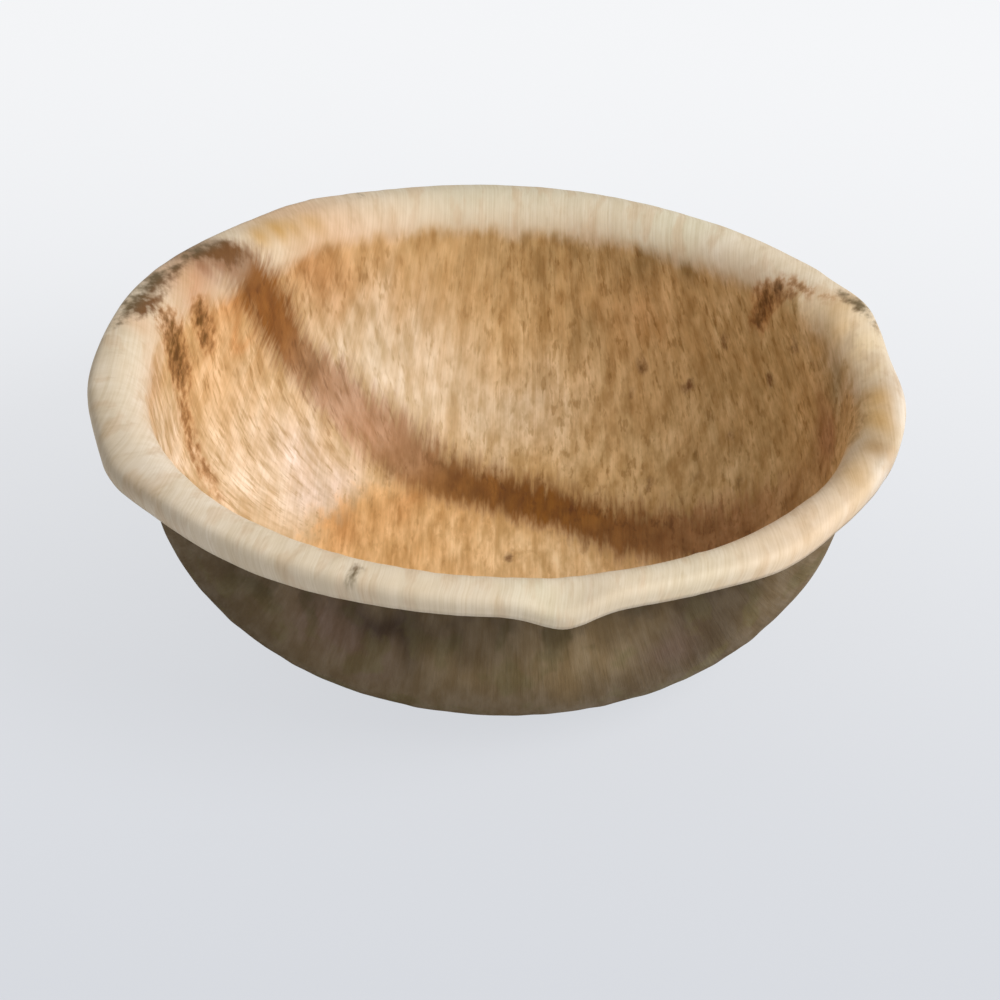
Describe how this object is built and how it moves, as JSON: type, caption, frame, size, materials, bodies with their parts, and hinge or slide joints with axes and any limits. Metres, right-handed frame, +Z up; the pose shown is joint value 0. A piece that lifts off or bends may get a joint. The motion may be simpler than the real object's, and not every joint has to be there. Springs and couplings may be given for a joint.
{
  "type": "palm leaf bowl",
  "caption": "Round disposable bowl hot-pressed from a palm leaf sheath, with a flat base, rounded corner, steep wall and rolled rim with a hemmed edge.",
  "frame": {"origin": "centre of the flat underside of the base", "axes": "+Z up out of the bowl's mouth, the leaf's fibres run along Y, and the picture looks along +Y from above"},
  "size_m": [0.1238, 0.1247, 0.04],
  "materials": {
    "pale_leaf": "dry satin leaf skin with fine parallel fibres and a brown stain",
    "leaf_fibre": "dry matte fibre and pith",
    "weathered_leaf": "dry matte weathered leaf skin"
  },
  "bodies": {
    "root": {"inner_skin": "pale_leaf", "fibre_core": "leaf_fibre", "outer_skin": "weathered_leaf"}
  },
  "joints": []
}
